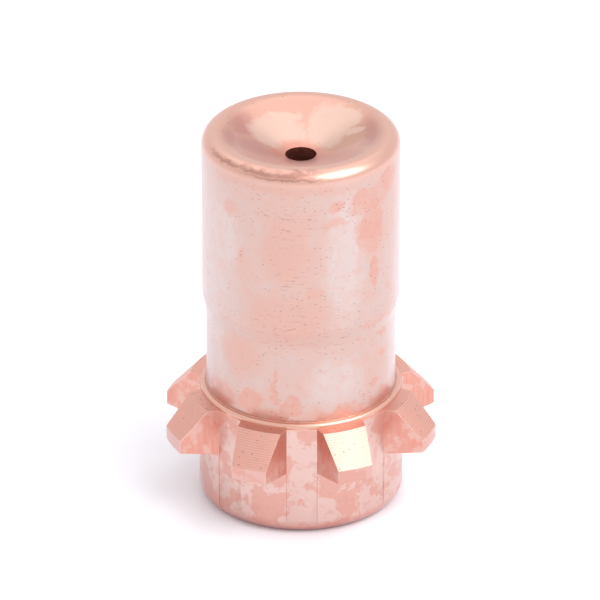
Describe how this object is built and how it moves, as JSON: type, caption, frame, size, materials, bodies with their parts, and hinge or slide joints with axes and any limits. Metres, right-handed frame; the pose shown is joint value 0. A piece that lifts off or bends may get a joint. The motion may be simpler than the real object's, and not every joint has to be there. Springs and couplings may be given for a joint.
{
  "type": "plasma torch nozzle",
  "caption": "Copper plasma torch nozzle with a dished tip round its orifice, a crown of milled teeth and an open stepped bore at the rear.",
  "frame": {"origin": "centre of the open rear rim, on the plane it stands on", "axes": "+Z along the nozzle's axis, from the rear rim to the orifice; a slot's middle plane faces -Y"},
  "size_m": [0.0174, 0.0174, 0.0258],
  "materials": {
    "copper": null
  },
  "bodies": {
    "root": {"nozzle": "copper"}
  },
  "joints": []
}
